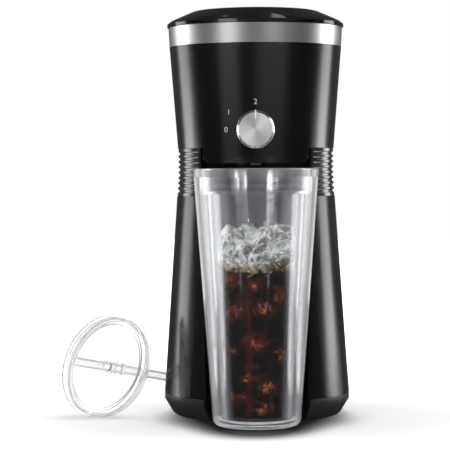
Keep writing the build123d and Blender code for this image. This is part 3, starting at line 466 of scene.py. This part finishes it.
red_silicone = finish("red_silicone", (0.35, 0.06, 0.03), (0.42, 0.09, 0.05), 0.55, grain_size=900)
milky_plastic = finish("milky_plastic", (0.5, 0.5, 0.47), (0.6, 0.6, 0.57), 0.45, grain_size=1500,
                       Subsurface_Weight=0.1)
woven_steel = finish("woven_steel", (0.42, 0.42, 0.42), (0.55, 0.55, 0.55), 0.35, grain_size=2500, depth=0.1,
                     Metallic=1.0)
bent_steel = finish("bent_steel", (0.5, 0.5, 0.49), (0.6, 0.6, 0.59), 0.3, grain_size=400, Metallic=1.0)
cast_aluminium = finish("cast_aluminium", (0.5, 0.5, 0.5), (0.62, 0.62, 0.62), 0.5, grain_size=500,
                        depth=0.15, Metallic=1.0)
hose_silicone = finish("hose_silicone", (0.66, 0.64, 0.6), (0.74, 0.72, 0.68), 0.4, grain_size=700,
                       Subsurface_Weight=0.2)
wire_cover = finish("wire_cover", (0.3, 0.26, 0.2), (0.4, 0.34, 0.28), 0.5, grain_size=900)
switch_black = finish("switch_black", (0.012, 0.012, 0.012), (0.018, 0.018, 0.018), 0.25, grain_size=900)
dress(red_silicone, "reservoir_seal", "plug_rings")
dress(milky_plastic, "filter_frame", "filter_rim", "terminal_block", "valve_plug")
dress(woven_steel, "filter_mesh")
dress(bent_steel, "heater_clamps", "hose_clips")
dress(cast_aluminium, "heater")
dress(hose_silicone, "supply_hose", "feed_hose", "riser_hose")
dress(wire_cover, "wiring")
dress(switch_black, "thermostat", "thermal_fuse")

# Knob: a plated shell with a brushed aluminium face pressed into it, on the stem of the valve's plug.
# A fine pointer line is painted on the face, and the knob has lamps of its own.

knob_z = 232.6 * mm
pointer_outer = 15.0 * mm
pointer_inner = 8.4 * mm
pointer_width = 0.8 * mm
pointer_high = 0.3 * mm
pointer_sunk = 0.2 * mm
pointer_round = 0.12 * mm

chrome = finish("chrome", (0.68, 0.69, 0.70), (0.74, 0.74, 0.75), 0.20, Metallic=1.0)
spun_aluminium = finish("spun_aluminium", (0.74, 0.75, 0.75), (0.80, 0.80, 0.80), 0.42, size=60,
                        grain_size=900, depth=0.004, Metallic=1.0, Anisotropic=0.5,
                        Anisotropic_Rotation=0.25)
brushed_round(spun_aluminium, "Y")
knob_ring = softened("knob_shell", 0.35 * mm, chrome)
knob_face = frame["nodes"]["knob_face"]
dress(spun_aluminium, "knob_face")


def added(name, mesh, material, body, smooth=True):
    """Object for a new piece that rides on a body."""
    mesh.materials.append(material)
    for polygon in mesh.polygons:
        polygon.use_smooth = smooth
    piece = bpy.data.objects.new(name, mesh)
    bpy.context.collection.objects.link(piece)
    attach(piece, body)
    return piece


face_front = min(corner[1] for corner in knob_face.bound_box)
form = bmesh.new()
bmesh.ops.create_cube(form, size=1.0)
bmesh.ops.scale(form, verts=form.verts, vec=(pointer_width, pointer_high + pointer_sunk,
                                             pointer_outer - pointer_inner))
bmesh.ops.translate(form, verts=form.verts, vec=(0, face_front + (pointer_sunk - pointer_high) / 2,
                                                 knob_z + (pointer_outer + pointer_inner) / 2))
bmesh.ops.bevel(form, geom=form.edges[:], offset=pointer_round, offset_type="OFFSET", segments=2, profile=0.5,
                affect="EDGES", material=-1)
pointer_paint = finish("pointer_paint", (0.72, 0.72, 0.72), (0.80, 0.80, 0.80), 0.45, grain_size=900)
pointer = added("pointer", mesh_of(form, "pointer"), pointer_paint, "knob")
knob_pieces = collected("knob_pieces", knob_ring, knob_face, pointer)
knob_lamps = (
    ("knob_high", 24, 1.2, 0.85, 0.5, 0.35, 6.0), ("knob_left", -80, 0.8, 0.06, 0.8, 0.8, 1.9),
    ("knob_right", 78, 0.8, 0.46, 0.7, 0.7, 1.7), ("knob_low", -30, 0.6, 0.03, 0.4, 0.2, 2.0),
)
for name, turn, distance, height, width, tall, radiance in knob_lamps:
    kept_to(soft_box(name, turn, distance, height, width, tall, radiance, aim=knob_z), knob_pieces)

# Marks: the numbers 0, 1 and 2 round the knob, pad-printed on the housing in light grey.
# They follow the housing's cone, and stand out from it by a layer of ink.

mark_size = 6.0 * mm
mark_high = 0.04 * mm
housing_low = 218.5 * mm
housing_low_radius = 64.1 * mm
housing_high = 301.6 * mm
housing_high_radius = 70.6 * mm
mark_ink = finish("mark_ink", (0.55, 0.55, 0.55), (0.66, 0.66, 0.66), 0.5, grain_size=1200)


def cone_radius(z, low, low_radius, high, high_radius):
    """Radius of a cone at a height, from its radii at two heights."""
    return low_radius + (z - low) / (high - low) * (high_radius - low_radius)


for digit, turn, reach in (("0", 180, 23.5 * mm), ("1", 147, 25.5 * mm), ("2", 90, 22 * mm)):
    words = bpy.data.curves.new("words", "FONT")
    words.body = digit
    words.size = mark_size
    words.align_x = "CENTER"
    words.align_y = "CENTER"
    words.extrude = mark_high
    holder = bpy.data.objects.new("words", words)
    bpy.context.collection.objects.link(holder)
    shape = bpy.data.meshes.new_from_object(holder.evaluated_get(bpy.context.evaluated_depsgraph_get()))
    bpy.data.objects.remove(holder)
    for vert in shape.vertices:
        x = reach * cos(radians(turn)) + vert.co.x
        z = knob_z + reach * sin(radians(turn)) + vert.co.y
        radius = cone_radius(z, housing_low, housing_low_radius, housing_high, housing_high_radius)
        vert.co = (x, -sqrt(radius ** 2 - x ** 2) - vert.co.z, z)
    shape.name = "mark_" + digit
    added("mark_" + digit, shape, mark_ink, "machine")

# Lid: a domed gloss cover with a thumb scoop, screwed to an inner plate with a centring skirt.
# It turns on a steel pin. Two small lamps behind it draw the glints on the dome.

lid_gloss = finish("lid_gloss", (0.0014, 0.0014, 0.0016), (0.0026, 0.0026, 0.0028), 0.13, spread=0.03,
                   size=14, grain_size=110, depth=0.004, IOR=1.46)
cover = softened("lid_cover", 0.7 * mm, lid_gloss, segments=4)
dress(inner_black, "lid_liner")
dress(zinc_steel, "lid_screws", "hinge_pin")
lid_pieces = collected("lid_pieces", cover)
for name, turn, width in (("lid_glint_left", -167, 0.10), ("lid_glint_right", 170, 0.08)):
    lamp = soft_box(name, turn, distance=0.8, height=1.4, width=width, tall=0.06, radiance=14.0, aim=330 * mm)
    kept_to(lamp, lid_pieces)


def all_but(name, *pieces):
    """Collection for lamps that light everything except some pieces."""
    group = collected(name, *pieces)
    for member in group.collection_objects:
        member.light_linking.link_state = "EXCLUDE"
    return group


kept_to(top_box, all_but("not_lid", cover))

# Back: a rocker switch snapped into its bezel, both black plastic,
# and the cord's bushing, which is soft rubber pushed into the wall.

softened("switch_bezel", 0.3 * mm, switch_black)
softened("switch_rocker", 0.4 * mm, switch_black)
softened("cord_inlet", 0.5 * mm, foot_rubber)

# Tumbler: two clear acrylic walls, moulded apart and welded at the rim, with a pale film at a slant that is
# partly haze and partly painted sheen.
# Lamps of its own draw the lines along its sides and in its mouth; the tall strips leave it out.


def clear(name, tint, roughness, ior, haze_and_sheen_tint=None, haze_and_sheen=()):
    """Clear plastic or ice; lamps reach through it, so its shadow stays light.

    A pale film, partly haze and partly painted sheen, may lie over it, by (slant, share) stops from seen
    square on to seen edge-on.
    """
    material = bpy.data.materials.new(name)
    material.use_nodes = True
    tree = material.node_tree
    shader = tree.nodes["Principled BSDF"]
    shader.inputs["Base Color"].default_value = (*tint, 1)
    shader.inputs["Transmission Weight"].default_value = 1.0
    shader.inputs["IOR"].default_value = ior
    drifting = node_of(tree, "ShaderNodeGroup", node_tree=drift, Roughness=roughness, Spread=roughness)
    tree.links.new(drifting.outputs["Roughness"], shader.inputs["Roughness"])
    body = shader.outputs[0]
    # Painted sheen, partly haze: a lit pale layer whose share follows how far the surface slants from the
    # view.
    if haze_and_sheen:
        slant = node_of(tree, "ShaderNodeLayerWeight", Blend=0.5).outputs["Facing"]
        pale = node_of(tree, "ShaderNodeBsdfDiffuse", Color=(*haze_and_sheen_tint, 1))
        body = mixed(tree, ramp_of(tree, slant, *haze_and_sheen), body, pale.outputs[0])
    passing = node_of(tree, "ShaderNodeBsdfTransparent", Color=(*tint, 1))
    in_shadow = tree.nodes.new("ShaderNodeLightPath").outputs["Is Shadow Ray"]
    tree.links.new(mixed(tree, in_shadow, body, passing.outputs[0]), tree.nodes["Material Output"].inputs[0])
    return material


clear_acrylic = clear(
    "clear_acrylic", (0.965, 0.968, 0.978), 0.035, 1.49, haze_and_sheen_tint=(0.72, 0.73, 0.75),
    haze_and_sheen=((0.24, 0.0), (0.38, 0.10), (0.52, 0.34), (0.66, 0.36), (0.9, 0.12)),
)
dress(clear_acrylic, "tumbler_outer", "tumbler_liner")
cup_walls = (frame["nodes"]["tumbler_outer"], frame["nodes"]["tumbler_liner"])
cup_pieces = collected("cup_pieces", *cup_walls)
not_cup = all_but("not_cup", ribs, *cup_walls)
kept_to(left_strip, not_cup)
kept_to(right_strip, not_cup)
cup_lamps = (
    ("cup_left", -118, 0.45, 0.8, 0.85),
    ("cup_left_soft", -85, 0.60, 0.8, 0.45),
    ("cup_left_front", -33, 0.12, 0.34, 0.7),
    ("cup_right", 118, 0.40, 0.8, 0.8),
    ("cup_right_soft", 85, 0.60, 0.8, 0.38),
    ("cup_right_front", 25, 0.12, 0.34, 0.9),
)
for name, turn, width, tall, radiance in cup_lamps:
    lamp = soft_box(name, turn, distance=0.9, height=0.15, width=width, tall=tall, radiance=radiance)
    feathered(lamp, (0.0, 0.0), (0.3, 0.6), (0.5, 1.0), (0.7, 0.6), (1.0, 0.0))
    kept_to(lamp, cup_pieces, alone=True)
for name, turn in (("mouth_glint_left", -32), ("mouth_glint_right", 22)):
    lamp = soft_box(name, turn, distance=0.9, height=0.187, width=0.06, tall=0.02, radiance=30.0)
    kept_to(lamp, cup_pieces, alone=True)

# Iced coffee: fills the liner to about three fifths, a hair's breadth inside its wall.
# Ice sunk in it shows as flaky amber patches with painted glints, and one reflection as a painted dark red
# streak.

cup_y = -80 * mm
liner_floor = 7.8 * mm
liner_shoulder = 184 * mm
liner_low_radius = 26 * mm
liner_top_radius = 36 * mm
drink_level = 122 * mm
drink_gap = 0.3 * mm
drink_round = 0.8 * mm
coffee_low = liner_floor + drink_gap


def liner_radius(z):
    """Inner radius of the tumbler at a height."""
    return cone_radius(z, liner_floor, liner_low_radius, liner_shoulder, liner_top_radius)


form = bmesh.new()
bmesh.ops.create_cone(
    form, cap_ends=True, segments=128, depth=drink_level - coffee_low,
    radius1=liner_radius(coffee_low) - drink_gap, radius2=liner_radius(drink_level) - drink_gap,
)
bmesh.ops.translate(form, verts=form.verts, vec=(0, cup_y, (drink_level + coffee_low) / 2))
rims = [edge for edge in form.edges if abs(edge.verts[0].co.z - edge.verts[1].co.z) < mm]
bmesh.ops.bevel(form, geom=rims, offset=drink_round, offset_type="OFFSET", segments=3, profile=0.5,
                affect="EDGES", material=-1)
coffee_mesh = mesh_of(form, "iced_coffee")

ragged_reach = 32 * mm
patch_edge = 1.3
fleck_least = 0.26
fleck_gain = 2.3
uneven_least = 0.42
streak_x = -5.71 * mm
streak_half = 3.57 * mm
sunken_ice_glints = [
    (-19, 116, 9, 9), (-16, 92, 10, 11), (5, 94, 12, 8), (18, 104, 7, 12), (-2, 68, 13, 10), (-6, 42, 10, 9),
    (8, 33, 11, 9), (-18, 62, 6, 8), (17, 58, 5, 9), (0, 112, 9, 7), (-14, 24, 8, 6), (4, 16, 12, 5),
]


def shaken(tree, spots, colour, reach):
    """Places moved by a noise colour, by half a reach on average; gives the vector socket."""
    node = node_of(tree, "ShaderNodeVectorMath", operation="MULTIPLY_ADD")
    tree.links.new(colour, node.inputs[0])
    node.inputs[1].default_value = (reach, reach, reach)
    tree.links.new(spots, node.inputs[2])
    return node.outputs[0]


def blended(tree, way, first, second):
    """Two colours put together in full by a Mix node; gives its colour socket."""
    node = node_of(tree, "ShaderNodeMix", data_type="RGBA", blend_type=way)
    node.inputs["Factor"].default_value = 1.0
    tree.links.new(first, node.inputs[6])
    tree.links.new(second, node.inputs[7])
    return node.outputs[2]


coffee = finish("coffee", (0.006, 0.0025, 0.002), (0.012, 0.004, 0.003), 0.15, spread=0.02,
                Specular_IOR_Level=0.08)
tree = coffee.node_tree
spots = tree.nodes.new("ShaderNodeTexCoord").outputs["Object"]
ragged = node_of(tree, "ShaderNodeTexNoise", Vector=spots, Scale=120.0, Detail=5.0, Roughness=0.75)
ragged_spots = shaken(tree, spots, ragged.outputs["Color"], ragged_reach)
nearest = patch_edge
for x, z, half_across, half_high in sunken_ice_glints:
    patch = node_of(tree, "ShaderNodeMapping", Vector=ragged_spots,
                    Location=(-(x * mm + ragged_reach / 2) / (half_across * mm), 0,
                              -(z * mm + ragged_reach / 2) / (half_high * mm)),
                    Scale=(1 / (half_across * mm), 0, 1 / (half_high * mm)))
    away = node_of(tree, "ShaderNodeVectorMath", operation="LENGTH", Vector=patch.outputs[0])
    nearest = maths(tree, "MINIMUM", away.outputs["Value"], nearest)
fleck = node_of(tree, "ShaderNodeTexNoise", Vector=spots, Scale=260.0, Detail=5.0, Roughness=0.75,
                Distortion=1.2)
flaky = maths(tree, "MULTIPLY", maths(tree, "SUBTRACT", fleck.outputs["Fac"], fleck_least), fleck_gain)
uneven = node_of(tree, "ShaderNodeTexNoise", Vector=spots, Scale=45.0, Detail=1.0)
flaky = maths(tree, "MULTIPLY", flaky, maths(tree, "ADD", uneven.outputs["Fac"], uneven_least))
# Painted glints: the patches turn amber and bright where light would come through the sunken ice.
glint = maths(tree, "MULTIPLY", maths(tree, "SUBTRACT", patch_edge, nearest), flaky)
amber_glints = ramp_of(tree, glint, (0.10, (0.003, 0.0012, 0.001)), (0.30, (0.022, 0.004, 0.003)),
                (0.50, (0.07, 0.016, 0.007)), (0.68, (0.22, 0.06, 0.022)), (0.9, (0.55, 0.2, 0.08)))
# Painted reflection: a dark red streak down the coffee at one place across.
across = node_of(tree, "ShaderNodeSeparateXYZ", Vector=spots)
streak = maths(tree, "SUBTRACT", across.outputs["X"], streak_x - streak_half)
streak = maths(tree, "DIVIDE", streak, 2 * streak_half)
painted_red_reflection = ramp_of(tree, streak, (0.0, 0.0), (0.5, (0.045, 0.001, 0.004)), (1.0, 0.0))
tree.links.new(blended(tree, "ADD", amber_glints, painted_red_reflection), tree.nodes["Principled BSDF"].inputs["Base Color"])
added("iced_coffee", coffee_mesh, coffee, "tumbler")

# Ice: a pile of large broken cubes that stands out of the coffee and lies against the liner's wall.
# It is cloudy, with fine pale cracks, and stained by the coffee near its level.

ice_cuts = 5
ice_cut_share = 0.46
ice_round = 0.4 * mm
ice_longest_edge = 4 * mm
dent_size = 7 * mm
dent_share = 0.05
crack_bend = 14 * mm
crack_share = 0.35
stain_low = drink_level - 8 * mm
stain_high = drink_level + 14 * mm
stain_drift = 1.4

ice = clear("ice", (0.97, 0.985, 0.985), 0.06, 1.31)
tree = ice.node_tree
shader = tree.nodes["Principled BSDF"]
shader.inputs["Transmission Weight"].default_value = 0.45
spots = tree.nodes.new("ShaderNodeTexCoord").outputs["Object"]
frost = node_of(tree, "ShaderNodeTexNoise", Vector=spots, Scale=60.0, Detail=6.0, Roughness=0.6,
                Distortion=1.5)
bent = shaken(tree, spots, frost.outputs["Color"], crack_bend)
cracks = node_of(tree, "ShaderNodeTexVoronoi", feature="DISTANCE_TO_EDGE", Vector=bent, Scale=130.0)
thin = ramp_of(tree, cracks.outputs["Distance"], (0.0, 1.0), (0.02, 0.6), (0.06, 0.0))
lines = maths(tree, "ADD", maths(tree, "MULTIPLY", thin, crack_share), frost.outputs["Fac"])
whiteness = ramp_of(tree, lines, (0.41, (0.15, 0.15, 0.11)), (0.48, (0.34, 0.35, 0.31)),
                    (0.56, (0.66, 0.67, 0.65)), (0.64, (0.98, 0.98, 0.97)))
upright = node_of(tree, "ShaderNodeSeparateXYZ", Vector=spots)
depth = maths(tree, "SUBTRACT", upright.outputs["Z"], stain_low)
depth = maths(tree, "DIVIDE", depth, stain_high - stain_low)
drifted = maths(tree, "MULTIPLY", maths(tree, "SUBTRACT", frost.outputs["Fac"], 0.5), stain_drift)
stain = ramp_of(tree, maths(tree, "ADD", depth, drifted), (0.0, (0.05, 0.012, 0.005)),
                (0.28, (0.14, 0.05, 0.018)), (0.38, (0.40, 0.27, 0.13)), (0.52, (0.74, 0.66, 0.48)),
                (0.75, 1.0))
tree.links.new(blended(tree, "MULTIPLY", whiteness, stain), shader.inputs["Base Color"])
facets = node_of(tree, "ShaderNodeTexVoronoi", feature="F1", Vector=spots, Scale=190.0)
bump = node_of(tree, "ShaderNodeBump", Strength=0.3, Distance=0.8 * mm, Height=facets.outputs["Distance"])
tree.links.new(bump.outputs["Normal"], shader.inputs["Normal"])

ice_places = [
    (-17, -9, 139, 25), (12, -10, 144, 31), (-5, 2, 142, 29), (20, 8, 141, 22), (-23, 4, 131, 18),
    (3, -22, 124, 22), (22, -14, 126, 20), (-15, -19, 128, 19),
]
chance = random.Random(7)
ice_pieces = collected("ice_pieces")
for number, (x, y, z, size) in enumerate(ice_places):
    form = bmesh.new()
    bmesh.ops.create_cube(form, size=size * mm)
    for cut in range(ice_cuts):
        slant = Vector([chance.uniform(-1, 1) for axis in range(3)]).normalized()
        split = bmesh.ops.bisect_plane(form, geom=form.verts[:] + form.edges[:] + form.faces[:],
                                       plane_co=slant * size * ice_cut_share * mm, plane_no=slant,
                                       clear_outer=True)
        loop = [part for part in split["geom_cut"] if isinstance(part, bmesh.types.BMEdge)]
        bmesh.ops.edgeloop_fill(form, edges=loop)
    bmesh.ops.bevel(form, geom=form.edges[:], offset=ice_round, offset_type="OFFSET", segments=2, profile=0.5,
                    affect="EDGES", material=-1)
    bmesh.ops.triangulate(form, faces=form.faces)
    long_edges = [edge for edge in form.edges if edge.calc_length() > ice_longest_edge]
    bmesh.ops.subdivide_edges(form, edges=long_edges, cuts=2)
    turned = chance.uniform(0, pi)
    axle = Vector((chance.random(), chance.random(), chance.random()))
    bmesh.ops.transform(form, matrix=Matrix.Rotation(turned, 4, axle), verts=form.verts)
    middle = Vector((x * mm, cup_y + y * mm, z * mm))
    for vert in form.verts:
        dent = noise.noise((vert.co + middle) / dent_size)
        vert.co *= 1 + dent_share * dent
        vert.co += middle
        out = Vector((vert.co.x, vert.co.y - cup_y))
        most = liner_radius(vert.co.z) - drink_gap / 2
        if out.length > most:
            out *= most / out.length
            vert.co.x = out.x
            vert.co.y = out.y + cup_y
    name = f"ice_{number}"
    ice_pieces.objects.link(added(name, mesh_of(form, name), ice, "tumbler", smooth=False))
lamp = soft_box("ice_lamp", turn=-60, distance=0.8, height=0.7, width=0.25, tall=0.25, radiance=30.0)
kept_to(lamp, ice_pieces, alone=True)

# Condensation: a thin mist on the inside of the liner above the drink, thicker in the mouth's step.
# It is a skin just inside the wall, mostly see-through, and uneven where drops have run down.

mist_gap = 0.15 * mm
mist_low = drink_level + 2 * mm
mouth_radius = 42.3 * mm
mouth_top = 201 * mm

mist = bpy.data.materials.new("mist")
mist.use_nodes = True
tree = mist.node_tree
shader = tree.nodes["Principled BSDF"]
shader.inputs["Base Color"].default_value = (0.86, 0.88, 0.9, 1)
shader.inputs["Roughness"].default_value = 0.6
spots = tree.nodes.new("ShaderNodeTexCoord").outputs["Object"]
runs = node_of(tree, "ShaderNodeMapping", Vector=spots, Scale=(90.0, 90.0, 5.0))
streaks = node_of(tree, "ShaderNodeTexNoise", Vector=runs.outputs[0], Scale=1.0, Detail=2.0, Roughness=0.5)
upright = node_of(tree, "ShaderNodeSeparateXYZ", Vector=spots)
height = maths(tree, "DIVIDE", maths(tree, "SUBTRACT", upright.outputs["Z"], mist_low), mouth_top - mist_low)
level = ramp_of(tree, height, (0.0, 0.0), (0.25, 0.07), (0.74, 0.08), (0.78, 0.12), (0.80, 0.03),
                (0.84, 0.10), (0.87, 0.03), (0.90, 0.06), (1.0, 0.10))
runny = ramp_of(tree, streaks.outputs["Fac"], (0.35, 0.6), (0.65, 1.5))
tree.links.new(maths(tree, "MULTIPLY", level, runny), shader.inputs["Alpha"])

profile = [
    (liner_radius(mist_low) - mist_gap, mist_low),
    (liner_top_radius - mist_gap, liner_shoulder + mist_gap),
    (mouth_radius - mist_gap, liner_shoulder + mist_gap),
    (mouth_radius - mist_gap, mouth_top),
]
form = bmesh.new()
line = [form.verts.new((radius, 0, z)) for radius, z in profile]
edges = [form.edges.new(pair) for pair in zip(line, line[1:])]
bmesh.ops.spin(form, geom=line + edges, cent=(0, 0, 0), axis=(0, 0, 1), angle=2 * pi, steps=96,
               use_merge=True)
bmesh.ops.recalc_face_normals(form, faces=form.faces)
bmesh.ops.translate(form, verts=form.verts, vec=(0, cup_y, 0))
added("condensation", mesh_of(form, "condensation"), mist, "tumbler")

# Bright underside: a pale disc in the tumbler's thick bottom paints the white that the bottom reflects
# from round it, and one lamp lights it alone.

bottom_disc_radius = 29 * mm
bottom_disc_height = 0.9 * mm
bright_bottom_paint = finish("bright_bottom_paint", (0.70, 0.72, 0.73), (0.95, 0.95, 0.95), 0.6, size=180, grain_size=900)
form = bmesh.new()
bmesh.ops.create_circle(form, cap_ends=True, segments=96, radius=bottom_disc_radius)
bmesh.ops.translate(form, verts=form.verts, vec=(0, cup_y, bottom_disc_height))
painted_bright_bottom = added("painted_bright_bottom", mesh_of(form, "painted_bright_bottom"), bright_bottom_paint, "tumbler")
lamp = soft_box("bottom_lamp", turn=10, distance=0.5, height=1.0, width=0.3, tall=0.3, radiance=20.0)
kept_to(lamp, collected("bottom_pieces", painted_bright_bottom), alone=True)

# Drink lid and straw: clear acrylic mouldings, with a soft clear gasket pressed round the lid
# and a stop ring on the straw. At their edges a pale film, partly haze and partly painted sheen, stands for
# the white round them.

lid_haze_and_sheen_tint = (0.80, 0.82, 0.82)
lid_haze_and_sheen = ((0.0, 0.06), (0.45, 0.12), (0.75, 0.7))
clear_gasket = clear("clear_gasket", (0.95, 0.96, 0.96), 0.2, 1.2, lid_haze_and_sheen_tint, lid_haze_and_sheen)
pale_acrylic = clear("pale_acrylic", (0.972, 0.977, 0.977), 0.11, 1.22, lid_haze_and_sheen_tint, lid_haze_and_sheen)
faint_acrylic = clear("faint_acrylic", (0.98, 0.983, 0.983), 0.10, 1.12, haze_and_sheen_tint=(0.84, 0.86, 0.86),
                      haze_and_sheen=((0.0, 0.06), (0.4, 0.12), (0.65, 0.9)))
softened("drink_lid", 0.45 * mm, pale_acrylic)
dress(clear_gasket, "lid_gasket")
dress(faint_acrylic, "straw", "straw_stop")
